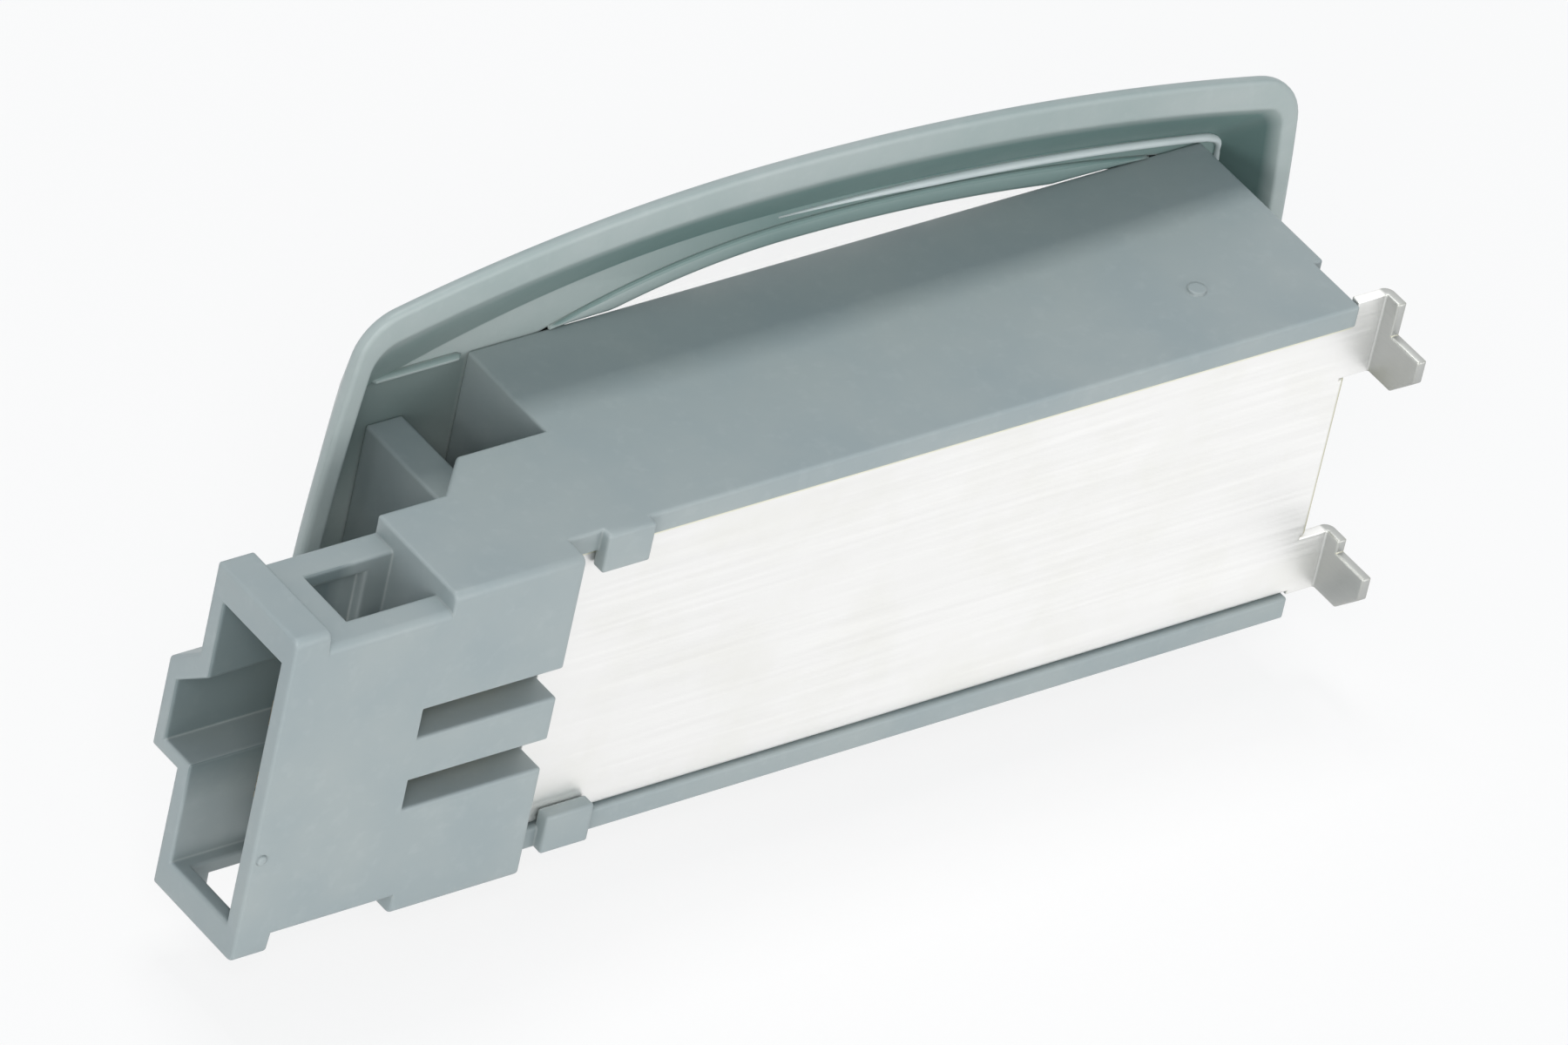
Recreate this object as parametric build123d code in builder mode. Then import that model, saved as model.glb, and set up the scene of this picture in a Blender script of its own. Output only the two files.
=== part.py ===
from build123d import *
import os

os.makedirs("parts", exist_ok=True)

# A car courtesy light. X runs along the lamp, from the plug end (-X) to the catch end (+X).
# Z is up. Y = 0 is the panel face that the bezel rim seats on, and the lens looks along +Y.

# Festoon bulb, a standard 35 mm one: it sets the size of the lamp box
bulb_length = 35.0
bulb_behind_panel = 4.0
glass_diameter = 10.0
glass_wall = 0.5
neck_diameter = 7.0
neck_length = 2.0
cap_length = 5.5
cap_diameter = 8.0
cap_tip_diameter = 3.4
cap_cone_length = 2.0
coil_diameter = 0.9
coil_length = 9.0
lead_diameter = 0.4

# Lamp box round the bulb
box_height = 18.0
box_wall = 1.2
spring_room = 1.6
glass_clearance = 0.5
end_recess = 0.5
end_recess_length = 3.5
pip_diameter = 0.9
pip_height = 0.15
pip_from_end = 7.0
pip_from_back = 3.9

# Bezel outline at the panel face, measured from the lamp box; its two ends are bowed
bezel_past_plug_end = 9.55
bezel_past_catch_end = 4.0
bezel_end_bow = 117.0
bezel_bow_z = -2.7
bezel_below_box = 3.0
bezel_crown_x = -7.15
bezel_crown_rise = 8.15
bezel_plug_shoulder_rise = 5.5
bezel_catch_shoulder_rise = 4.6
bezel_plug_corner = 2.6
bezel_catch_corner = 3.4
bezel_bottom_corner = 2.4

# Bezel section: rim, dish and the dish floor that the lamp box stands on
rim_width = 1.4
rim_end_width = 0.95
rim_edge = 0.6
dish_depth = 2.7
bezel_wall = 1.2
dish_plug_slope = 2.2
dish_catch_slope = 1.6
dish_bottom_slope = 0.6
floor_crown_x = -6.15
floor_crown_rise = 3.0
floor_plug_shoulder_drop = 0.6
floor_catch_shoulder_rise = 0.3
floor_corner = 1.0

# Lens window in the bezel
window_crown_x = -3.15
window_crown_rise = 1.6
window_plug_shoulder_drop = 2.0
window_catch_shoulder_drop = 1.0
window_corner = 1.3
lens_flange_width = 0.6
lens_flange_thickness = 0.7
lens_proud = 0.2
flute_count = 13
flute_pitch = 2.8
flute_radius = 3.0
flute_depth = 0.35

# Plug socket
block_length = 10.5
block_shoulder = 3.5
block_root_length = 4.8
block_root_step = 2.1
shroud_length = 8.5
shroud_wall = 0.9
shroud_end_wall = 0.8
shroud_step = 0.95
socket_gap = 4.4
socket_end_wall = 1.3
collar_length = 1.9
keyway_crest = 2.3
keyway_foot = 2.6
keyway_flank = 1.6
keyway_depth = 1.9
keyway_wall = 0.8
latch_length = 4.7
latch_width = 3.2
latch_low_setback = 0.8
latch_pocket = 3.2
stop_rib_length = 2.0
stop_rib_drop = 2.65
stop_rib_gap = 3.0

# Contacts
terminal_pitch = 4.0
strip_thickness = 0.4
strip_width = 1.4
strip_clearance = 0.4
slot_end_wall = 0.8
blade_length = 5.0
jog_length = 0.9
rail_wall_gap = 0.6
leaf_hole = 4.4
leaf_margin = 0.7
ledge_length = 3.0
ledge_width = 1.6
ledge_thickness = 0.8
ledge_spacing = 18.0

# Back cover
cover_thickness = 0.5
cover_inset = 0.3
cover_fold = 2.6
tongue_width = 4.4
low_tongue_rise = 1.1
tongue_reach = 1.6
finger_width = 2.6
finger_length = 3.0
finger_corner = 1.4
shoulder_length = 0.9
lug_gap = 1.8
lug_length = 2.6
lug_overlap = 0.9
lug_thickness = 0.8

# Fits
slip = 0.1
seat = 0.05
edge_round = 0.4

# Places along the lamp, worked out from the sizes above
box_length = bulb_length + 2 * spring_room + 2 * box_wall + end_recess
box_left = -box_length / 2
box_right = box_length / 2
wall_right = box_right - end_recess
chamber_left = box_left + box_wall
chamber_right = wall_right - box_wall
bulb_middle = (chamber_left + chamber_right) / 2
bezel_left = box_left - bezel_past_plug_end
bezel_right = box_right + bezel_past_catch_end
block_end = box_left - block_shoulder
step_x = box_left - block_length
mouth_x = step_x - shroud_length
socket_end = step_x - socket_end_wall

# Places up and down
box_top = box_height / 2
chamber_top = box_top - box_wall
bezel_low = -box_top - bezel_below_box
shroud_top = box_top - shroud_step
socket_half = shroud_top - shroud_end_wall

# Places from the back to the front
bulb_y = -bulb_behind_panel
floor_y = dish_depth
bezel_front = dish_depth + bezel_wall
cover_front = bulb_y - glass_diameter / 2 - glass_clearance
cover_back = cover_front - cover_thickness
box_back = cover_back - cover_inset
strip_front = bulb_y - cap_diameter / 2 - strip_clearance
strip_back = strip_front - strip_thickness
socket_middle = (strip_front + strip_back) / 2
block_back = socket_middle - socket_gap / 2 - shroud_wall
shroud_front = socket_middle + socket_gap / 2 + shroud_wall
root_front = shroud_front + block_root_step

# The contact leaves sit on the cones of the bulb's caps
bulb_axis = Axis((0, bulb_y, 0), (1, 0, 0))
glass_length = bulb_length - 2 * cap_length
cone_slope = (cap_diameter - cap_tip_diameter) / 2 / cap_cone_length
leaf_from_tip = (leaf_hole - 2 * seat - cap_tip_diameter) / 2 / cone_slope
leaf_left = bulb_middle - bulb_length / 2 + leaf_from_tip
leaf_right = bulb_middle + bulb_length / 2 - leaf_from_tip


def across(y):
    """Sketch plane across the lamp at depth y: its sketch reads X, Z and extrudes towards the back."""
    return Plane.XZ.offset(-y)


def span_box(x_span, y_span, z_span, mode=Mode.ADD):
    """A box given by its lowest and highest place along each axis."""
    spans = (x_span, y_span, z_span)
    middle = [(low + high) / 2 for low, high in spans]
    size = [high - low for low, high in spans]
    with Locations(tuple(middle)):
        Box(*size, mode=mode)


def bow(end_x, z, outward):
    """X of a bezel end at height z: end_x is its furthest place, and outward is -1 or 1."""
    return end_x - outward * (bezel_end_bow - (bezel_end_bow**2 - (z - bezel_bow_z) ** 2) ** 0.5)


def draw_d(sketch, ends, low, shoulders, crown, corners, bowed=True):
    """A D lying on its side: an arch of two arcs that meet at the crown, two ends and a straight side."""
    left, right = ends
    plug_shoulder = (bow(left, shoulders[0], -1) if bowed else left, shoulders[0])
    catch_shoulder = (bow(right, shoulders[1], 1) if bowed else right, shoulders[1])
    plug_foot = (bow(left, low, -1) if bowed else left, low)
    catch_foot = (bow(right, low, 1) if bowed else right, low)
    with BuildLine() as outline:
        TangentArc(crown, plug_shoulder, tangent=(-1, 0))
        TangentArc(crown, catch_shoulder, tangent=(1, 0))
        if bowed:
            ThreePointArc(plug_shoulder, (left, bezel_bow_z), plug_foot)
            ThreePointArc(catch_shoulder, (right, bezel_bow_z), catch_foot)
        else:
            Line(plug_shoulder, plug_foot)
            Line(catch_shoulder, catch_foot)
        Line(plug_foot, catch_foot)
    make_face(outline.edges())
    for place, radius in zip((plug_foot, catch_foot, plug_shoulder, catch_shoulder), corners):
        fillet(sketch.vertices().sort_by_distance(place)[0], radius)


def draw_rim(sketch, inset=0.0, end_inset=0.0):
    """The bezel outline at its rim, drawn in by the insets."""
    draw_d(
        sketch,
        (bezel_left + end_inset, bezel_right - end_inset),
        bezel_low + inset,
        (box_top + bezel_plug_shoulder_rise - inset, box_top + bezel_catch_shoulder_rise - inset),
        (bezel_crown_x, box_top + bezel_crown_rise - inset),
        (bezel_bottom_corner, bezel_bottom_corner, bezel_plug_corner, bezel_catch_corner),
    )


def draw_floor(sketch):
    """The outline of the dish floor under the brow, which the front face repeats."""
    draw_d(
        sketch,
        (bezel_left + rim_end_width + dish_plug_slope, bezel_right - rim_end_width - dish_catch_slope),
        bezel_low + rim_width + dish_bottom_slope,
        (box_top - floor_plug_shoulder_drop, box_top + floor_catch_shoulder_rise),
        (floor_crown_x, box_top + floor_crown_rise),
        (floor_corner,) * 4,
    )


def draw_window(sketch, grow=0.0):
    """The lens window: as long as the lamp chamber, with an arch that rises above the lamp box."""
    draw_d(
        sketch,
        (chamber_left - grow, chamber_right + grow),
        -chamber_top - grow,
        (box_top - window_plug_shoulder_drop + grow, box_top - window_catch_shoulder_drop + grow),
        (window_crown_x, box_top + window_crown_rise + grow),
        (window_corner + grow,) * 4,
        bowed=False,
    )


# Bezel: an outer and an inner shell, each ruled between two D outlines, with a rebated window
with BuildPart() as bezel:
    with BuildSketch(across(rim_edge)) as rim_outline:
        draw_rim(rim_outline)
    extrude(amount=rim_edge)
    with BuildSketch(across(rim_edge)) as body_back:
        draw_rim(body_back)
    with BuildSketch(across(bezel_front)) as body_front:
        draw_floor(body_front)
    loft(ruled=True)
    with BuildSketch(across(0)) as dish_back:
        draw_rim(dish_back, rim_width, rim_end_width)
    with BuildSketch(across(floor_y)) as dish_floor:
        draw_floor(dish_floor)
    loft(ruled=True, mode=Mode.SUBTRACT)
    with BuildSketch(across(bezel_front)) as window_opening:
        draw_window(window_opening)
    extrude(amount=bezel_front - floor_y, mode=Mode.SUBTRACT)
    with BuildSketch(across(floor_y + lens_flange_thickness)) as window_rebate:
        draw_window(window_rebate, lens_flange_width)
    extrude(amount=lens_flange_thickness, mode=Mode.SUBTRACT)
bezel.part.label = "bezel"
export_step(bezel.part, "parts/bezel.step")

# Lens: a flanged window with upright flutes on its inner face
with BuildPart() as lens:
    with BuildSketch(across(floor_y + lens_flange_thickness - seat)) as lens_flange:
        draw_window(lens_flange, lens_flange_width - slip)
    extrude(amount=lens_flange_thickness - seat)
    with BuildSketch(across(bezel_front + lens_proud)) as lens_body:
        draw_window(lens_body, -slip)
    extrude(amount=bezel_front + lens_proud - floor_y)
    front_edges = lens.faces().sort_by(Axis.Y)[-1].edges()
    chamfer(front_edges, lens_proud)
    with BuildSketch(Plane.XY.offset(-chamber_top)) as flutes:
        with Locations((bulb_middle, floor_y - flute_radius + flute_depth)):
            with GridLocations(flute_pitch, 0, flute_count, 1):
                Circle(flute_radius)
    extrude(amount=2 * chamber_top, mode=Mode.SUBTRACT)
lens.part.label = "lens"
export_step(lens.part, "parts/lens.step")


def draw_keyway(base_y, crest_y, wall):
    """Section of the keyway: square on its lower side, with a sloping flank on its upper side."""
    with BuildLine() as outline:
        Polyline(
            (base_y, -keyway_foot + wall),
            (crest_y, -keyway_foot + wall),
            (crest_y, keyway_crest - wall),
            (base_y, keyway_crest + keyway_flank - wall),
            close=True,
        )
    make_face(outline.edges())


# Lamp housing: lamp box, plug block and plug shroud moulded in one
with BuildPart() as lamp_housing:
    span_box((box_left, box_right), (box_back, floor_y), (-box_top, box_top))
    # Plug block: plan outline with a thicker root beside the lamp box
    with BuildSketch(Plane.XY.offset(-box_top)) as block_plan:
        with BuildLine():
            Polyline(
                (step_x, block_back),
                (block_end, block_back),
                (block_end, box_back),
                (box_left, box_back),
                (box_left, root_front),
                (box_left - block_root_length, root_front),
                (box_left - block_root_length - block_root_step, shroud_front),
                (step_x, shroud_front),
                close=True,
            )
        make_face()
    extrude(amount=box_height)
    # Plug shroud with its mouth collars and keyway
    span_box((mouth_x, step_x), (block_back, shroud_front), (-shroud_top, shroud_top))
    span_box((mouth_x, mouth_x + collar_length), (block_back, shroud_front), (-box_top, box_top))
    with BuildSketch(Plane.YZ.offset(mouth_x)) as key_outside:
        draw_keyway(shroud_front, shroud_front + keyway_depth, 0.0)
    extrude(amount=shroud_length)
    # Stop rib between the plug block and the bezel floor
    rib_right = box_left - stop_rib_gap
    rib_half = box_top - stop_rib_drop
    span_box((rib_right - stop_rib_length, rib_right), (root_front, floor_y), (-rib_half, rib_half))
    # Small round on the outer edges that run across the plug block and shroud
    moulded_edges = lamp_housing.edges().filter_by(Axis.X).filter_by_position(Axis.X, mouth_x, box_left)
    fillet(moulded_edges.filter_by_position(Axis.Y, block_back - slip, block_back + slip), edge_round)
    # Lamp chamber, open to the lens and to the back
    span_box((chamber_left, chamber_right), (box_back, floor_y), (-chamber_top, chamber_top), Mode.SUBTRACT)
    # Seats for the back cover: over both end walls, and outside the catch end for its fold
    span_box((block_end, box_right), (box_back, cover_front), (-chamber_top, chamber_top), Mode.SUBTRACT)
    span_box((wall_right, box_right), (box_back, box_back + end_recess_length),
             (-box_top, box_top), Mode.SUBTRACT)
    # Plug socket, its keyway and the two latch windows
    span_box((mouth_x, socket_end), (block_back + shroud_wall, shroud_front - shroud_wall),
             (-socket_half, socket_half), Mode.SUBTRACT)
    with BuildSketch(Plane.YZ.offset(mouth_x)) as key_inside:
        draw_keyway(shroud_front - shroud_wall, shroud_front + keyway_depth - keyway_wall, keyway_wall)
    extrude(amount=socket_end - mouth_x, mode=Mode.SUBTRACT)
    latch_y = (socket_middle - latch_width / 2, socket_middle + latch_width / 2)
    span_box((step_x - latch_length, step_x), latch_y, (socket_half - latch_pocket, box_top), Mode.SUBTRACT)
    span_box((mouth_x + latch_low_setback, mouth_x + latch_low_setback + latch_length), latch_y,
             (-box_top, -socket_half), Mode.SUBTRACT)
    # Slots for the two contacts, open at the back, and the holes for their blades
    slot_start = socket_end + slot_end_wall
    slot_half = strip_width / 2 + slip
    for slot_z in (-terminal_pitch / 2, terminal_pitch / 2):
        slot_span = (slot_z - slot_half, slot_z + slot_half)
        span_box((slot_start, chamber_left), (block_back, strip_front + slip), slot_span, Mode.SUBTRACT)
        span_box((socket_end, slot_start), (strip_back - slip, strip_front + slip), slot_span, Mode.SUBTRACT)
    # Hold-down lugs over the back cover's corners
    lug_left = block_end + lug_gap
    for side in (-1, 1):
        lug_z = sorted((side * box_top, side * (chamber_top - lug_overlap)))
        lug_y = (cover_back - seat - lug_thickness, cover_back - seat)
        span_box((lug_left, lug_left + lug_length), lug_y, lug_z)
    # Ledges that the long contact rail lies on
    for ledge_x in (bulb_middle - ledge_spacing / 2, bulb_middle + ledge_spacing / 2):
        span_box((ledge_x - ledge_length / 2, ledge_x + ledge_length / 2),
                 (strip_front + seat, strip_front + seat + ledge_thickness),
                 (-chamber_top, -chamber_top + ledge_width))
    # Moulded pip on the top wall
    with Locations((box_right - pip_from_end, box_back + pip_from_back, box_top + pip_height / 2)):
        Cylinder(pip_diameter / 2, pip_height)
lamp_housing.part.label = "lamp_housing"
export_step(lamp_housing.part, "parts/lamp_housing.step")

# Back cover: one folded sheet with an end fold and two sprung catch tongues
cover_half = chamber_top - slip
cover_left = block_end + slip
plate_right = wall_right + slip
fold_half = box_top - tongue_width - slip
tongue_end = plate_right + cover_thickness + tongue_reach


def draw_bend(sketch, start_x, corner_x, turn, reach):
    """Section of the sheet from start_x, bent at corner_x to the front (turn 1) or the back (turn -1)."""
    inside_y = cover_front if turn > 0 else cover_back
    outside_y = cover_back if turn > 0 else cover_front
    inside_x = corner_x - cover_thickness
    end_y = inside_y + turn * reach
    with BuildLine() as outline:
        Polyline(
            (start_x, outside_y),
            (corner_x, outside_y),
            (corner_x, end_y),
            (inside_x, end_y),
            (inside_x, inside_y),
            (start_x, inside_y),
            close=True,
        )
    make_face(outline.edges())
    fillet(sketch.vertices().sort_by_distance((corner_x, outside_y))[0], cover_thickness)
    fillet(sketch.vertices().sort_by_distance((inside_x, inside_y))[0], slip)


with BuildPart() as back_cover:
    span_box((cover_left, plate_right), (cover_back, cover_front), (-cover_half, cover_half))
    with BuildSketch(Plane.XY.offset(-fold_half)) as end_fold:
        draw_bend(end_fold, cover_left, plate_right + cover_thickness, 1, cover_fold)
    extrude(amount=2 * fold_half)
    # Each tongue is bent to the back at its end: a long barbed finger beside a short shoulder
    tongues = (
        (-box_top + low_tongue_rise, -box_top + tongue_width),
        (box_top - tongue_width, box_top),
    )
    for tongue_low, tongue_high in tongues:
        finger_high = tongue_low + finger_width
        with BuildSketch(Plane.XY.offset(tongue_low)) as finger:
            draw_bend(finger, plate_right, tongue_end, -1, finger_length)
        extrude(amount=finger_width)
        with BuildSketch(Plane.XY.offset(finger_high)) as shoulder:
            draw_bend(shoulder, plate_right, tongue_end, -1, shoulder_length)
        extrude(amount=tongue_high - finger_high)
    finger_tips = back_cover.edges().filter_by(Axis.X).group_by(Axis.Y)[0].sort_by(Axis.Z)
    chamfer([finger_tips[0], finger_tips[2]], finger_corner)
back_cover.part.label = "back_cover"
export_step(back_cover.part, "parts/back_cover.step")

# Contacts: a blade in the plug socket, a strip through its slot and an upright leaf with a bulb hole
blade_tip = socket_end - blade_length
leaf_half = leaf_hole / 2 + leaf_margin
leaf_top = bulb_y + leaf_half
strip_half = strip_width / 2
left_z = terminal_pitch / 2
right_z = -terminal_pitch / 2

with BuildPart() as left_contact:
    span_box((blade_tip, leaf_left), (strip_back, strip_front), (left_z - strip_half, left_z + strip_half))
    span_box((leaf_left - strip_thickness, leaf_left), (strip_back, leaf_top), (-leaf_half, leaf_half))
    with BuildSketch(Plane.YZ.offset(leaf_left)) as left_hole:
        with Locations((bulb_y, 0)):
            Circle(leaf_hole / 2)
    extrude(amount=-strip_thickness, mode=Mode.SUBTRACT)
left_contact.part.label = "left_contact"
export_step(left_contact.part, "parts/left_contact.step")

rail_low = -chamber_top + rail_wall_gap
jog_left = chamber_left + slip
with BuildPart() as right_contact:
    span_box((blade_tip, jog_left + jog_length), (strip_back, strip_front),
             (right_z - strip_half, right_z + strip_half))
    span_box((jog_left, jog_left + jog_length), (strip_back, strip_front), (rail_low, right_z + strip_half))
    span_box((jog_left, leaf_right + strip_thickness), (strip_back, strip_front),
             (rail_low, rail_low + strip_width))
    span_box((leaf_right + strip_thickness - strip_width, leaf_right + strip_thickness),
             (strip_back, strip_front), (rail_low, leaf_half))
    span_box((leaf_right, leaf_right + strip_thickness), (strip_back, leaf_top), (-leaf_half, leaf_half))
    with BuildSketch(Plane.YZ.offset(leaf_right)) as right_hole:
        with Locations((bulb_y, 0)):
            Circle(leaf_hole / 2)
    extrude(amount=strip_thickness, mode=Mode.SUBTRACT)
right_contact.part.label = "right_contact"
export_step(right_contact.part, "parts/right_contact.step")

# Festoon bulb: a glass tube necked into two end caps, with a filament on its axis
glass_half = glass_length / 2
neck_radius = neck_diameter / 2
glass_radius = glass_diameter / 2
bulb_plane = Plane((bulb_middle, bulb_y, 0))
with BuildPart() as bulb_glass:
    with BuildSketch(bulb_plane) as glass_section:
        with BuildLine():
            Polyline(
                (-glass_half - neck_length, 0),
                (-glass_half - neck_length, neck_radius),
                (-glass_half, neck_radius),
                (-glass_half + glass_radius - neck_radius, glass_radius),
                (glass_half - glass_radius + neck_radius, glass_radius),
                (glass_half, neck_radius),
                (glass_half + neck_length, neck_radius),
                (glass_half + neck_length, 0),
                close=True,
            )
        make_face()
    revolve(axis=bulb_axis)
    offset(amount=-glass_wall, kind=Kind.INTERSECTION, mode=Mode.SUBTRACT)
bulb_glass.part.label = "bulb_glass"
export_step(bulb_glass.part, "parts/bulb_glass.step")


def draw_cap(inward):
    """Half section of a cap whose open end faces inward along X: -1 or +1."""
    open_end = -inward * glass_half
    cone_start = -inward * (glass_half + cap_length - cap_cone_length)
    tip = -inward * (glass_half + cap_length)
    cup_end = -inward * (glass_half + neck_length + seat)
    cup_radius = neck_radius + seat
    with BuildLine() as outline:
        Polyline(
            (cup_end, 0),
            (cup_end, cup_radius),
            (open_end, cup_radius),
            (open_end, cap_diameter / 2),
            (cone_start, cap_diameter / 2),
            (tip, cap_tip_diameter / 2),
            (tip, 0),
            close=True,
        )
    make_face(outline.edges())


with BuildPart() as bulb_cap_left:
    with BuildSketch(bulb_plane):
        draw_cap(1)
    revolve(axis=bulb_axis)
bulb_cap_left.part.label = "bulb_cap_left"
export_step(bulb_cap_left.part, "parts/bulb_cap_left.step")

with BuildPart() as bulb_cap_right:
    with BuildSketch(bulb_plane):
        draw_cap(-1)
    revolve(axis=bulb_axis)
bulb_cap_right.part.label = "bulb_cap_right"
export_step(bulb_cap_right.part, "parts/bulb_cap_right.step")

lead_length = glass_length + 2 * neck_length - 2 * glass_wall - 2 * seat
with BuildPart() as bulb_filament:
    with Locations(Location((bulb_middle, bulb_y, 0), (0, 90, 0))):
        Cylinder(lead_diameter / 2, lead_length)
        Cylinder(coil_diameter / 2, coil_length)
bulb_filament.part.label = "bulb_filament"
export_step(bulb_filament.part, "parts/bulb_filament.step")
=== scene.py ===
import math

import bmesh
import bpy
from mathutils import Matrix, Vector


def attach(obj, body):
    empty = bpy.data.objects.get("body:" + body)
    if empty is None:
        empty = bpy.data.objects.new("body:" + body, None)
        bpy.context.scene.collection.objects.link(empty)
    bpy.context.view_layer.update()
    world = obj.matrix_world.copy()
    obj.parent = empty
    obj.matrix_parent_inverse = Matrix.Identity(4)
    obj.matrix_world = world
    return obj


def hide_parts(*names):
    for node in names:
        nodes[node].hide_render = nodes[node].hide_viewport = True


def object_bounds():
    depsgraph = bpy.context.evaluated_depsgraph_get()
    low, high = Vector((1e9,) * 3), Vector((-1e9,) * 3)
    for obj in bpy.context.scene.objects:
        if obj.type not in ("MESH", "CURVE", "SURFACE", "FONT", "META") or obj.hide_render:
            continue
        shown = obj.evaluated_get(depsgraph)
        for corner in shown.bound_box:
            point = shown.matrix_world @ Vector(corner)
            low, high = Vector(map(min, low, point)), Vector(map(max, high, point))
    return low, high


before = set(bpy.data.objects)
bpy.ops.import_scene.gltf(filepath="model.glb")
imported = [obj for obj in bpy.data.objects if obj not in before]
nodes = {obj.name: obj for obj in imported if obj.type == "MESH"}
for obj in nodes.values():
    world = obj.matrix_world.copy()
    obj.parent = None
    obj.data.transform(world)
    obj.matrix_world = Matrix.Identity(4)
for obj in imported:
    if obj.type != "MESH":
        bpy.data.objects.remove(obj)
cad_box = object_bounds()
scene = bpy.context.scene
MM = 0.001

# Bezel outlines, in millimetres as in part.py. Pairs are plug side first. Corners are the radii of
# the plug foot, the catch foot, the plug shoulder and the catch shoulder.
PLUG, CATCH = 0, 1
OUTER_RIM = dict(ends=(-30.1, 24.55), low=-12.0, shoulders=(14.5, 13.6), crown=(-7.15, 17.15),
                 corners=(2.4, 2.4, 2.6, 3.4))
INNER_RIM = dict(ends=(-29.15, 23.6), low=-10.6, shoulders=(13.1, 12.2), crown=(-7.15, 15.75),
                 corners=(1.6, 1.6, 1.7, 1.3))
DISH_FLOOR = dict(ends=(-26.95, 22.0), low=-10.0, shoulders=(8.4, 9.3), crown=(-6.15, 12.0),
                  corners=(1.0, 1.0, 1.0, 1.0))
WINDOW = dict(ends=(-19.35, 18.85), low=-7.8, shoulders=(7.0, 8.0), crown=(-3.15, 10.6),
              corners=(1.3, 1.3, 1.3, 1.3), bow=False)
REBATE = dict(ends=(-19.95, 19.45), low=-8.4, shoulders=(7.6, 8.6), crown=(-3.15, 11.2),
              corners=(1.9, 1.9, 1.9, 1.9), bow=False)
END_BOW, END_BOW_Z = 117.0, -2.7

# Depths of the bezel along Y, and of the foot of the trim on its floor
RIM_Y, RIM_EDGE_Y, FLOOR_Y, REBATE_Y, FRONT_Y = 0.0, 0.6, 2.7, 3.4, 3.9
TRIM_Y = 2.705

# Radii of three arches, and the lowest Z that clears the top of the lamp box
FLOOR_ARCH, WINDOW_ARCH, REBATE_ARCH = (61.6, 148.1), (38.25, 94.38), (41.0, 99.5)
OVER_BOX = 9.02

# Pip on the box top: its X and Y, how far its edges reach, and the Z below its foot
TOP_PIP, TOP_PIP_REACH, TOP_PIP_Z = (13.55, -6.4), 0.6, 8.9

FLAT, CREASE = math.radians(0.5), math.radians(32)


def srgb(r, g, b):
    """Linear colour of an 8-bit sRGB one."""
    def linear(v):
        v /= 255.0
        return v / 12.92 if v <= 0.04045 else ((v + 0.055) / 1.055) ** 2.4
    return (linear(r), linear(g), linear(b), 1.0)


def spread(first, last, count):
    """Evenly spaced values from first to last."""
    return [first + (last - first) * i / (count - 1) for i in range(count)]


HALF_TURN = spread(0.0, math.pi, 11)


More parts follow.
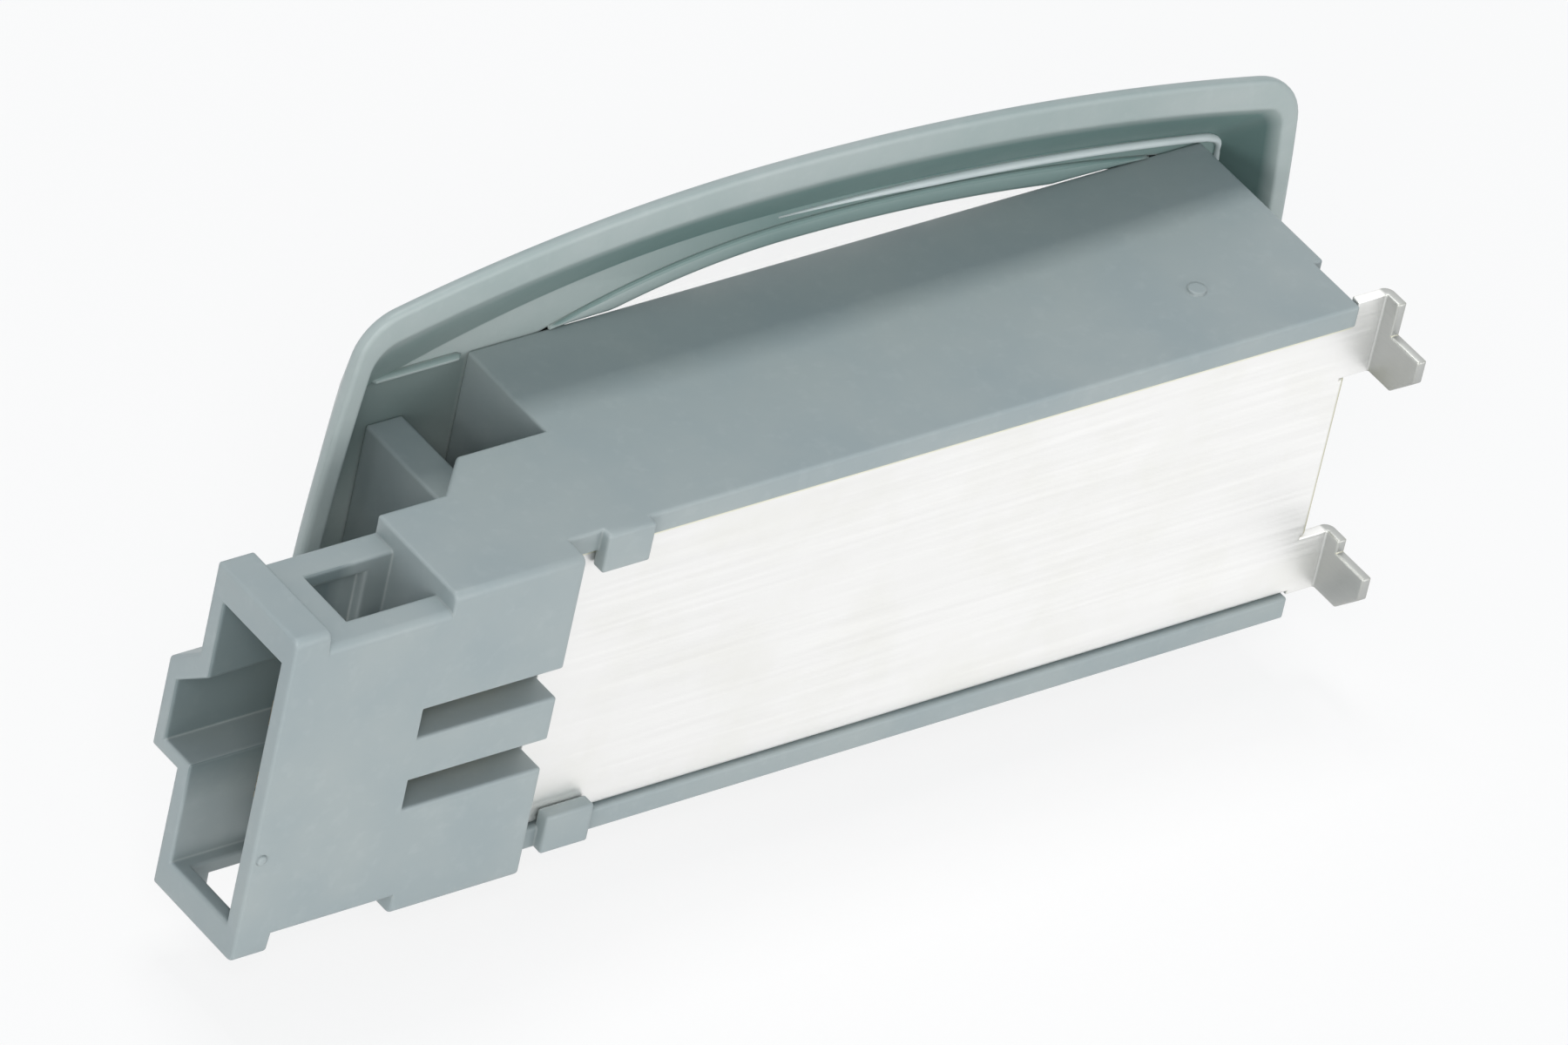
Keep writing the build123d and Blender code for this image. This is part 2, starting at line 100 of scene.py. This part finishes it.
class Shader:
    """A material and short ways to add and link its nodes; lengths are in millimetres."""

    def __init__(self, name):
        self.material = bpy.data.materials.new(name)
        self.material.use_nodes = True
        self.tree = self.material.node_tree
        self.surface = self.tree.nodes["Principled BSDF"]

    def add(self, kind, **values):
        node = self.tree.nodes.new(kind)
        for key, value in values.items():
            setattr(node, key, value)
        return node

    def link(self, source, target):
        self.tree.links.new(source, target)

    def place(self):
        """Coordinates fixed to the object, in metres."""
        return self.add("ShaderNodeTexCoord").outputs["Object"]

    def stretch(self, vector, scale):
        node = self.add("ShaderNodeMapping")
        node.inputs["Scale"].default_value = scale
        self.link(vector, node.inputs["Vector"])
        return node.outputs["Vector"]

    def noise(self, vector, scale, detail, rough):
        node = self.add("ShaderNodeTexNoise")
        node.inputs["Scale"].default_value = scale
        node.inputs["Detail"].default_value = detail
        node.inputs["Roughness"].default_value = rough
        self.link(vector, node.inputs["Vector"])
        return node.outputs["Fac"]

    def remap(self, value, low, high, to_low, to_high):
        node = self.add("ShaderNodeMapRange")
        node.inputs["From Min"].default_value = low
        node.inputs["From Max"].default_value = high
        node.inputs["To Min"].default_value = to_low
        node.inputs["To Max"].default_value = to_high
        self.link(value, node.inputs["Value"])
        return node.outputs["Result"]

    def mix(self, factor, a, b):
        """Colour between a and b, each a colour or a socket."""
        node = self.add("ShaderNodeMix", data_type="RGBA")
        self.link(factor, node.inputs["Factor"])
        for value, socket in ((a, node.inputs[6]), (b, node.inputs[7])):
            if isinstance(value, tuple):
                socket.default_value = value
            else:
                self.link(value, socket)
        return node.outputs[2]

    def share(self, mask, least, most):
        """A mask of 0 to 1 brought to the values least to most."""
        return self.remap(mask, 0.0, 1.0, least, most)

    def tint(self, colour, mask, most, toward):
        """The colour, moved toward another by at most a share where the mask is 1."""
        return self.mix(self.share(mask, 0.0, most), colour, toward)

    def both(self, *masks):
        """Product of masks."""
        product = masks[0]
        for mask in masks[1:]:
            node = self.add("ShaderNodeMath", operation="MULTIPLY")
            self.link(product, node.inputs[0])
            self.link(mask, node.inputs[1])
            product = node.outputs[0]
        return product

    def along(self, output, axis, none, full):
        """0 to 1 between two values of one axis of the place or of the face's direction."""
        geometry = self.add("ShaderNodeNewGeometry")
        split = self.add("ShaderNodeSeparateXYZ")
        self.link(geometry.outputs[output], split.inputs[0])
        return self.remap(split.outputs[axis], none, full, 0.0, 1.0)

    def beyond(self, axis, none, full):
        """0 up to one place along an axis, 1 from the other on."""
        return self.along("Position", axis, none * MM, full * MM)

    def facing(self, axis, none, full):
        """0 and 1 at two values of the face's direction along an axis."""
        return self.along("True Normal", axis, none, full)

    def within(self, axis, low, high, blur):
        """1 between two places along an axis, 0 outside them."""
        return self.both(self.beyond(axis, low - blur, low + blur),
                         self.beyond(axis, high + blur, high - blur))

    def soft_normal(self, radius):
        """Normal that is rounded over at the edges."""
        node = self.add("ShaderNodeBevel", samples=8)
        node.inputs["Radius"].default_value = radius * MM
        return node.outputs["Normal"]

    def edges(self, normal):
        """1 where the rounded normal leaves the flat one, 0 on open faces."""
        flat = self.add("ShaderNodeNewGeometry")
        dot = self.add("ShaderNodeVectorMath", operation="DOT_PRODUCT")
        self.link(normal, dot.inputs[0])
        self.link(flat.outputs["True Normal"], dot.inputs[1])
        return self.remap(dot.outputs["Value"], 0.99, 0.80, 0.0, 1.0)

    def crevices(self, distance, open_end=0.95, closed_end=0.25):
        """1 in corners that light hardly reaches, 0 in the open."""
        node = self.add("ShaderNodeAmbientOcclusion", samples=8)
        node.inputs["Distance"].default_value = distance * MM
        return self.remap(node.outputs["AO"], open_end, closed_end, 0.0, 1.0)

    def bump(self, height, strength, distance, normal=None):
        node = self.add("ShaderNodeBump")
        node.inputs["Strength"].default_value = strength
        node.inputs["Distance"].default_value = distance * MM
        self.link(height, node.inputs["Height"])
        if normal is not None:
            self.link(normal, node.inputs["Normal"])
        return node.outputs["Normal"]


def dish_shade(s, colour, slope, dish, painted_shade):
    """Painted shade: darker slopes inside the bezel, darker still where they face the plug end, and
    a painted shadow on the floor beside the lamp box.
    """
    inward = s.facing("Y", -0.05, -0.25)
    deep = s.beyond("Y", 0.05, 0.7)
    plug_floor = s.both(s.share(slope, 1.0, 0.0), s.beyond("X", -4.0, -14.0))
    strength = s.both(s.share(slope, 0.75, 1.0), s.share(plug_floor, 1.0, 0.1),
                      s.share(s.beyond("X", -12.0, -22.0), 1.0, 0.55))
    # Deeper painted shade on the slopes that face the plug end
    deeper_dish_shade = tuple(0.70 * v for v in dish[:3]) + (1.0,)
    shaded = s.mix(s.facing("X", -0.2, -0.6), dish, deeper_dish_shade)
    colour = s.mix(s.both(inward, strength, deep), colour, shaded)
    # Painted shadow on the floor beside the lamp box
    pocket = s.both(s.beyond("X", -20.3, -20.7), s.beyond("Z", 8.9, 8.6), s.beyond("Z", 2.0, 6.0))
    return s.tint(colour, s.both(pocket, inward, deep), 0.5, painted_shade)


def mouth_shade(s, colour, painted_shade):
    """Painted shade on the far wall in the upper half of the plug mouth."""
    inside = s.both(s.within("X", -45.0, -33.5, blur=0.4), s.within("Y", -10.7, 2.0, blur=0.3))
    far_wall = s.both(inside, s.facing("Y", -0.2, -0.6), s.beyond("Z", -4.0, -2.0))
    return s.tint(colour, far_wall, 0.55, painted_shade)


def moulded_plastic(name, base, cool, worn, painted_shade, dish=None, mouth=False):
    """Satin moulded plastic: mottled colour, fine grain, soft pale edges, painted shade in corners
    and hollows, and optional painted shade inside the dish and the plug mouth.
    """
    s = Shader(name)
    place = s.place()
    cloud = s.noise(place, scale=160.0, detail=4.0, rough=0.55)
    grain = s.noise(place, scale=5200.0, detail=3.0, rough=0.6)
    speck = s.noise(place, scale=1500.0, detail=2.0, rough=0.5)
    soft = s.soft_normal(0.22)
    colour = s.mix(s.remap(cloud, 0.35, 0.65, 0.0, 1.0), base, cool)
    colour = s.mix(s.remap(speck, 0.55, 0.80, 0.0, 0.10), colour, worn)
    # Painted shade in hollows up to 8 mm deep
    hollow_shade = s.crevices(8.0, open_end=0.85, closed_end=0.15)
    if dish is not None:
        slope = s.facing("Y", -0.97, -0.90)
        colour = dish_shade(s, colour, slope, dish, painted_shade)
        hollow_shade = s.both(hollow_shade, slope)
    colour = s.tint(colour, hollow_shade, 0.18, painted_shade)
    if mouth:
        colour = mouth_shade(s, colour, painted_shade)
    # Painted shade in tight corners
    colour = s.tint(colour, s.crevices(1.5), 0.15, painted_shade)
    colour = s.tint(colour, s.edges(soft), 0.4, worn)
    s.link(colour, s.surface.inputs["Base Color"])
    s.link(s.remap(cloud, 0.3, 0.7, 0.38, 0.50), s.surface.inputs["Roughness"])
    normal = s.bump(grain, strength=0.10, distance=0.03, normal=soft)
    normal = s.bump(cloud, strength=0.05, distance=0.4, normal=normal)
    s.link(normal, s.surface.inputs["Normal"])
    s.surface.inputs["IOR"].default_value = 1.49
    return s.material


def cover_tints(s, colour, soft):
    """Zinc-tinted edges of the back cover, and painted shade on its catches."""
    zinc, pale_zinc, catch_shade = srgb(190, 188, 158), srgb(226, 224, 192), srgb(178, 180, 178)
    fold = s.both(s.within("X", 20.32, 20.62, blur=0.08), s.within("Z", -4.5, 4.5, blur=0.05))
    upper_edge = s.both(s.within("Z", 7.55, 8.0, blur=0.08), s.beyond("X", 20.3, 20.0))
    catches = s.beyond("X", 21.6, 21.75)
    colour = s.mix(fold, colour, zinc)
    colour = s.mix(upper_edge, colour, pale_zinc)
    # Painted shade: the catches darker than the rest of the plate
    colour = s.mix(catches, colour, catch_shade)
    return s.tint(colour, s.edges(soft), 0.6, zinc)


def sheet_metal(name, base, tint, rough, grain, cover=False):
    """Rolled sheet or drawn metal: fine lines along one direction and faint stains."""
    s = Shader(name)
    place = s.place()
    lines = s.noise(s.stretch(place, grain), scale=1.0, detail=3.0, rough=0.6)
    stain = s.noise(place, scale=220.0, detail=4.0, rough=0.6)
    soft = s.soft_normal(0.14)
    colour = s.mix(s.remap(stain, 0.45, 0.75, 0.0, 0.6), base, tint)
    if cover:
        colour = cover_tints(s, colour, soft)
    s.link(colour, s.surface.inputs["Base Color"])
    s.link(s.remap(lines, 0.3, 0.7, rough - 0.06, rough + 0.08), s.surface.inputs["Roughness"])
    normal = s.bump(lines, strength=0.06, distance=0.02, normal=soft)
    s.link(normal, s.surface.inputs["Normal"])
    s.surface.inputs["Metallic"].default_value = 1.0
    return s.material


def clear(name, tint, rough, ior, ripple):
    """Clear moulded plastic or blown glass with a faint ripple."""
    s = Shader(name)
    place = s.place()
    wave = s.noise(place, scale=ripple, detail=2.0, rough=0.5)
    haze = s.noise(place, scale=900.0, detail=4.0, rough=0.6)
    white = (1.0, 1.0, 1.0, 1.0)
    colour = s.mix(s.remap(haze, 0.4, 0.8, 0.0, 0.4), white, tint)
    s.link(colour, s.surface.inputs["Base Color"])
    s.link(s.remap(haze, 0.3, 0.7, rough, rough + 0.06), s.surface.inputs["Roughness"])
    s.link(s.bump(wave, strength=0.04, distance=0.2), s.surface.inputs["Normal"])
    s.surface.inputs["Transmission Weight"].default_value = 1.0
    s.surface.inputs["IOR"].default_value = ior
    return s.material


def place_mesh(name, shape, material):
    """Smooth piece from a bmesh in metres, riding on the part."""
    mesh = bpy.data.meshes.new(name)
    shape.to_mesh(mesh)
    shape.free()
    mesh.polygons.foreach_set("use_smooth", [True] * len(mesh.polygons))
    mesh.materials.append(material)
    piece = bpy.data.objects.new(name, mesh)
    scene.collection.objects.link(piece)
    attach(piece, "root")
    return piece


def even_shading(piece):
    """Flat faces stay flat beside their rounded edges."""
    even = piece.modifiers.new("even_shading", "WEIGHTED_NORMAL")
    even.weight = 100
    even.keep_sharp = True
    return piece


def skin(name, rows, material, ring=False):
    """Closed piece through closed rows of places in millimetres, with capped ends or as a ring."""
    shape = bmesh.new()
    grid = [[shape.verts.new(Vector(place) * MM) for place in row] for row in rows]
    pairs = list(zip(grid, grid[1:])) + ([(grid[-1], grid[0])] if ring else [])
    for here, there in pairs:
        for k in range(len(here)):
            step = (k + 1) % len(here)
            shape.faces.new((here[k], here[step], there[step], there[k]))
    if not ring:
        shape.faces.new(grid[0][::-1])
        shape.faces.new(grid[-1])
    bmesh.ops.recalc_face_normals(shape, faces=shape.faces)
    return place_mesh(name, shape, material)


def in_order(shape):
    """Put the places and faces of a bmesh in an order that is the same each run."""
    loops = sorted([tuple(v.co) for v in face.verts] for face in shape.faces)
    shape.clear()
    verts = {place: shape.verts.new(place) for place in sorted(set().union(*loops))}
    for loop in loops:
        shape.faces.new([verts[place] for place in loop])
    shape.normal_update()


def rounded_copy(name, node, width, keep=None):
    """Copy of a CAD node with its outer edges rounded over, except the edges that keep picks."""
    shape = bmesh.new()
    shape.from_mesh(node.data)
    shape.transform(node.matrix_world)
    bmesh.ops.remove_doubles(shape, verts=shape.verts, dist=0.0001 * MM)
    bmesh.ops.dissolve_limit(shape, angle_limit=FLAT, verts=shape.verts, edges=shape.edges)
    sharp = [edge for edge in shape.edges
             if len(edge.link_faces) == 2 and edge.is_convex and edge.calc_face_angle(0.0) > CREASE
             and not (keep and all(keep(v.co / MM) for v in edge.verts))]
    bmesh.ops.bevel(shape, geom=sharp, offset=width * MM, offset_type="OFFSET", segments=3,
                    profile=0.5, affect="EDGES", clamp_overlap=False)
    bmesh.ops.remove_doubles(shape, verts=shape.verts, dist=0.002 * MM)
    bmesh.ops.triangulate(shape, faces=[face for face in shape.faces if len(face.verts) > 4])
    bmesh.ops.dissolve_degenerate(shape, dist=0.001 * MM, edges=shape.edges)
    in_order(shape)
    for edge in shape.edges:
        edge.smooth = edge.calc_face_angle(0.0) < CREASE
    piece = place_mesh(name, shape, node.data.materials[0])
    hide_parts(node.name)
    return even_shading(piece)


def on_top_pip(v):
    """Whether a place belongs to the pip on the box top."""
    return (v.z > TOP_PIP_Z and abs(v.x - TOP_PIP[0]) < TOP_PIP_REACH
            and abs(v.y - TOP_PIP[1]) < TOP_PIP_REACH)


def run_length(run):
    """Length of a curve that is given for 0 to 1."""
    places = [run(t) for t in spread(0.0, 1.0, 21)]
    return sum((b - a).length for a, b in zip(places, places[1:]))


def round_corner(run, last, after, first, handle):
    """Places of a rounded corner from the end of one run to the start of the next."""
    a, b = run(last), after(first)
    a_handle = a + (a - run(last - 0.01)).normalized() * handle
    b_handle = b - (after(first + 0.01) - b).normalized() * handle
    return [(1 - t) ** 3 * a + 3 * t * (1 - t) ** 2 * a_handle + 3 * t * t * (1 - t) * b_handle
            + t ** 3 * b for t in spread(0.0, 1.0, 11)[:-1]]


def d_outline(ends, low, shoulders, crown, corners, bow=True):
    """Closed row of X, Z places round a D on its side; all outlines share one count and order."""
    def end_x(side, z):
        sag = END_BOW - math.sqrt(END_BOW ** 2 - (z - END_BOW_Z) ** 2) if bow else 0.0
        return ends[side] + (sag if side == PLUG else -sag)

    def arc(side):
        span, drop = end_x(side, shoulders[side]) - crown[0], crown[1] - shoulders[side]
        radius = (span * span + drop * drop) / (2 * drop)
        whole = math.asin(span / radius)
        return lambda t: Vector((crown[0] + radius * math.sin(whole * t),
                                 crown[1] - radius * (1 - math.cos(whole * t))))

    def upright(side):
        top = shoulders[side]
        return lambda t: Vector((end_x(side, top + (low - top) * t), top + (low - top) * t))

    plug_arc, catch_arc = arc(PLUG), arc(CATCH)
    plug_end, catch_end = upright(PLUG), upright(CATCH)
    plug_foot, catch_foot = plug_end(1.0), catch_end(1.0)
    runs = (catch_arc, catch_end, lambda t: catch_foot.lerp(plug_foot, t),
            lambda t: plug_end(1.0 - t), lambda t: plug_arc(1.0 - t))
    counts = (64, 28, 60, 28, 54)
    lengths = [run_length(run) for run in runs]
    plug_foot_radius, catch_foot_radius, plug_radius, catch_radius = corners
    radii = (catch_radius, catch_foot_radius, plug_foot_radius, plug_radius)
    trims, handles = [0.0], []
    for run, after, radius in zip(runs, runs[1:], radii):
        into = (run(1.0) - run(0.98)).normalized()
        away = (after(0.02) - after(0.0)).normalized()
        turn = into.angle(away)
        trims.append(radius * math.tan(turn / 2))
        handles.append(4 / 3 * math.tan(turn / 4) * radius)
    trims.append(0.0)
    places = []
    for i, run in enumerate(runs):
        first, last = trims[i] / lengths[i], 1.0 - trims[i + 1] / lengths[i]
        places += [run(t) for t in spread(first, last, counts[i] + 1)[:-1]]
        if i < len(handles):
            start = trims[i + 1] / lengths[i + 1]
            places += round_corner(run, last, runs[i + 1], start, handles[i])
    return places


def at_depth(outline, y):
    """Places of an outline at one depth."""
    return [Vector((place.x, y, place.y)) for place in outline]


def rounded_rows(keys):
    """Rows of places round a section; each key row has the radius that rounds the edge there."""
    rows = []
    for i, (row, radius) in enumerate(keys):
        if radius == 0.0:
            rows.append(row)
            continue
        before, after = keys[i - 1][0], keys[(i + 1) % len(keys)][0]
        for t in spread(0.0, 1.0, 7):
            new = []
            for edge, prior, later in zip(row, before, after):
                a = edge + (prior - edge) * min(0.45, radius / (prior - edge).length)
                b = edge + (later - edge) * min(0.45, radius / (later - edge).length)
                new.append((1 - t) ** 2 * a + 2 * t * (1 - t) * edge + t * t * b)
            rows.append(new)
    return rows


def arch(x, crown, radii):
    """Height at x of an arch of two radii that meet at its crown."""
    radius = radii[PLUG] if x < crown[0] else radii[CATCH]
    return crown[1] - radius + math.sqrt(radius * radius - (x - crown[0]) ** 2)


def bead(name, path, half_width, height, material, taper=1.2):
    """Half-round bead on the dish floor through X, Z places, growing over its first places."""
    tip, end_taper = 0.15, min(taper, 6.0)
    rows = []
    for i, (x, z) in enumerate(path):
        before, after = path[max(i - 1, 0)], path[min(i + 1, len(path) - 1)]
        side = Vector((before[1] - after[1], after[0] - before[0])).normalized()
        size = min(1.0, tip + i / taper, tip + (len(path) - 1 - i) / end_taper)
        row = []
        for turn in HALF_TURN:
            out = -half_width * size * math.cos(turn)
            rise = height * size * math.sin(turn)
            row.append((x + side.x * out, TRIM_Y - rise, z + side.y * out))
        rows.append(row)
    return skin(name, rows, material)


def lip_row(x, bottom, top, height):
    """Half-round section of a lip on the dish floor."""
    return [(x, TRIM_Y - height * math.sin(turn),
             bottom + (top - bottom) * (1 - math.cos(turn)) / 2) for turn in HALF_TURN]


def dome(name, centre, radius, height, material):
    """Low round pip with a soft foot on a face that looks to the back."""
    profile = ((1.18, 0.0), (1.04, 0.10), (1.0, 0.35), (0.93, 0.72), (0.76, 0.93), (0.45, 1.0))
    turns = spread(0.0, 2 * math.pi, 29)[:-1]
    rows = [[(centre[0] + radius * share * math.cos(turn), centre[1] - height * rise,
              centre[2] + radius * share * math.sin(turn)) for turn in turns]
            for share, rise in profile]
    return skin(name, rows, material)


def seen_white(tree, lit):
    """Shader that is plain white to camera, gloss and glass rays, and the lit one to all others."""
    path = tree.nodes.new("ShaderNodeLightPath")
    seen = path.outputs["Is Camera Ray"]
    for ray in ("Is Glossy Ray", "Is Transmission Ray"):
        either = tree.nodes.new("ShaderNodeMath")
        either.operation = "MAXIMUM"
        tree.links.new(seen, either.inputs[0])
        tree.links.new(path.outputs[ray], either.inputs[1])
        seen = either.outputs[0]
    white = tree.nodes.new("ShaderNodeEmission")
    white.inputs["Strength"].default_value = 1.0
    choose = tree.nodes.new("ShaderNodeMixShader")
    tree.links.new(seen, choose.inputs["Fac"])
    tree.links.new(lit, choose.inputs[1])
    tree.links.new(white.outputs[0], choose.inputs[2])
    return choose.outputs[0]


def area_light(name, place, size, watts):
    """Square soft light that faces the object; place and size in metres."""
    data = bpy.data.lights.new(name, "AREA")
    data.size = size
    data.energy = watts
    lamp = bpy.data.objects.new(name, data)
    lamp.location = place
    lamp.rotation_euler = (-Vector(place)).to_track_quat("-Z", "Y").to_euler()
    scene.collection.objects.link(lamp)


# Looks of the CAD nodes. In the plastics the darkest colour is painted shade for hollows and
# corners, and the bezel's dish colour is painted shade inside the dish.
looks = {
    "bezel": moulded_plastic(
        "bezel_satin", base=srgb(176, 184, 181), cool=srgb(166, 177, 174),
        worn=srgb(206, 213, 209), painted_shade=srgb(70, 92, 88), dish=srgb(108, 134, 130)),
    "lamp_housing": moulded_plastic(
        "housing_satin", base=srgb(162, 170, 169), cool=srgb(154, 164, 165),
        worn=srgb(200, 206, 203), painted_shade=srgb(78, 98, 100), mouth=True),
    "back_cover": sheet_metal(
        "plated_steel", base=srgb(240, 240, 239), tint=srgb(233, 233, 228), rough=0.46,
        grain=(90.0, 90.0, 4200.0), cover=True),
    "left_contact": sheet_metal(
        "contact_strip", base=srgb(214, 182, 112), tint=srgb(186, 150, 92), rough=0.30,
        grain=(120.0, 4000.0, 4000.0)),
    "bulb_cap_left": sheet_metal(
        "cap_nickel", base=srgb(206, 204, 198), tint=srgb(176, 172, 160), rough=0.28,
        grain=(3000.0, 150.0, 150.0)),
    "bulb_filament": sheet_metal(
        "filament_wire", base=srgb(120, 118, 116), tint=srgb(90, 88, 88), rough=0.40,
        grain=(6000.0, 300.0, 300.0)),
    "lens": clear("lens_clear", srgb(252, 254, 254), rough=0.02, ior=1.49, ripple=260.0),
    "bulb_glass": clear("bulb_glass_clear", srgb(232, 238, 236), rough=0.0, ior=1.47, ripple=180.0),
}
looks["right_contact"] = looks["left_contact"]
looks["bulb_cap_right"] = looks["bulb_cap_left"]
for name, node in nodes.items():
    node.data.materials.clear()
    node.data.materials.append(looks[name])

# Bezel with rounded edges: from the dish floor back over the rim, and round to the window
dish_floor, outer_rim = d_outline(**DISH_FLOOR), d_outline(**OUTER_RIM)
window, rebate = d_outline(**WINDOW), d_outline(**REBATE)
shell = skin("bezel_shell", rounded_rows([
    (at_depth(dish_floor, FLOOR_Y), 0.18),
    (at_depth(d_outline(**INNER_RIM), RIM_Y), 0.14),
    (at_depth(outer_rim, RIM_Y), 0.30),
    (at_depth(outer_rim, RIM_EDGE_Y), 0.30),
    (at_depth(dish_floor, FRONT_Y), 0.9),
    (at_depth(window, FRONT_Y), 0.16),
    (at_depth(window, REBATE_Y), 0.0),
    (at_depth(rebate, REBATE_Y), 0.0),
    (at_depth(rebate, FLOOR_Y), 0.05),
]), looks["bezel"], ring=True)
even_shading(shell)
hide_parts("bezel")

# Housing and cover with rounded edges
rounded_copy("housing_moulding", nodes["lamp_housing"], 0.15, on_top_pip)
rounded_copy("cover_sheet", nodes["back_cover"], 0.08)

# Bead below the dish floor's arch, round its catch corner and down, painted pale as a highlight
pale = moulded_plastic(
    "bead_painted_highlight", base=srgb(216, 223, 222), cool=srgb(206, 214, 214),
    worn=srgb(236, 240, 239), painted_shade=srgb(120, 134, 132))
inset, corner_x, corner_drop, corner_radius = 0.32, 20.97, 0.12, 0.75
over = [(x, arch(x, DISH_FLOOR["crown"], FLOOR_ARCH) - inset) for x in spread(-3.98, 20.82, 41)]
corner_z = over[-1][1] - corner_drop
corner = [(corner_x + corner_radius * math.sin(t), corner_z - corner_radius * (1 - math.cos(t)))
          for t in spread(0.0, math.pi / 2, 7)[1:]]
down = [(corner[-1][0], corner[-1][1] - drop) for drop in spread(0.5, 3.0, 6)]
bead("window_bead", over + corner + down, half_width=0.22, height=0.30,
     material=pale, taper=16.0)

# Rib above the pocket at the plug end
bead("floor_rib", [(x, 8.95) for x in spread(-26.0, -20.9, 18)], half_width=0.20, height=0.34,
     material=looks["bezel"])

# Lip over the lens's flange, along the arch and down to the box top
overlap, margin = 0.38, 0.06
lip_rows = []
for x in spread(-16.2, 17.4, 81):
    bottom = max(arch(x, WINDOW["crown"], WINDOW_ARCH) - overlap, OVER_BOX)
    top = arch(x, REBATE["crown"], REBATE_ARCH) + margin
    lip_rows.append(lip_row(x, bottom, top, height=0.22))
skin("lens_lip", lip_rows, looks["bezel"])

# Round mark low on the shroud's back
dome("shroud_pip", centre=(-39.05, -11.695, -3.25), radius=0.26, height=0.13,
     material=looks["lamp_housing"])

# Camera: the photograph's viewing angle, fitted to its points; lengths in millimetres
azimuth, elevation, roll = math.radians(-43.418), math.radians(36.638), math.radians(12.939)
distance, view_width, aim_right, aim_up = 800.0, 70.5, -2.393, -3.850
back = Vector((math.sin(azimuth) * math.cos(elevation), -math.cos(azimuth) * math.cos(elevation),
               math.sin(elevation)))
level = Vector((0, 0, 1)).cross(back).normalized()
upward = back.cross(level)
right = math.cos(roll) * level + math.sin(roll) * upward
up = -math.sin(roll) * level + math.cos(roll) * upward
eye = aim_right * right + aim_up * up + distance * back
camera_data = bpy.data.cameras.new("camera")
camera_data.sensor_width = 36.0
camera_data.lens = camera_data.sensor_width * distance / view_width
camera_data.clip_start = 0.01
camera = bpy.data.objects.new("camera", camera_data)
axes = Matrix((right, up, back)).transposed().to_4x4()
camera.matrix_world = Matrix.Translation(eye * MM) @ axes
scene.collection.objects.link(camera)
scene.camera = camera

# Floor: pale and plain, with a share of its lit shade kept for the object's shadow
half, gap, lit_share = 1.5, 0.0005, 0.16
low = cad_box[0][2] - gap
floor_mesh = bpy.data.meshes.new("floor")
floor_corners = [(-half, -half, low), (half, -half, low), (half, half, low), (-half, half, low)]
floor_mesh.from_pydata(floor_corners, [], [(0, 1, 2, 3)])
floor = bpy.data.objects.new("floor", floor_mesh)
scene.collection.objects.link(floor)
shade = Shader("floor_white")
shade.surface.inputs["Base Color"].default_value = (0.93, 0.91, 0.90, 1.0)
shade.surface.inputs["Roughness"].default_value = 0.8
lit = shade.surface.outputs[0]
camera_ray = shade.add("ShaderNodeLightPath").outputs["Is Camera Ray"]
blend = shade.add("ShaderNodeMixShader")
shade.link(shade.share(camera_ray, 0.0, lit_share), blend.inputs["Fac"])
shade.link(seen_white(shade.tree, lit), blend.inputs[1])
shade.link(lit, blend.inputs[2])
shade.link(blend.outputs[0], shade.tree.nodes["Material Output"].inputs["Surface"])
floor_mesh.materials.append(shade.material)

# World: white to the camera, in reflections and through the lens, and a soft light otherwise
world = bpy.data.worlds.new("studio")
world.use_nodes = True
scene.world = world
tree = world.node_tree
sky = tree.nodes["Background"]
sky.inputs["Color"].default_value = (0.80, 1.0, 1.16, 1.0)
sky.inputs["Strength"].default_value = 0.27
tree.links.new(seen_white(tree, sky.outputs[0]), tree.nodes["World Output"].inputs["Surface"])

# Lights
area_light("overhead", (0.0, 0.12, 0.50), size=0.12, watts=0.90)
area_light("back_fill", (0.22, -0.54, 0.08), size=0.30, watts=1.05)
area_light("plug_fill", (-0.48, -0.34, 0.06), size=0.30, watts=1.30)
area_light("pocket_fill", (-0.36, -0.40, 0.44), size=0.22, watts=1.35)

bpy.context.scene.view_settings.view_transform = "Standard"
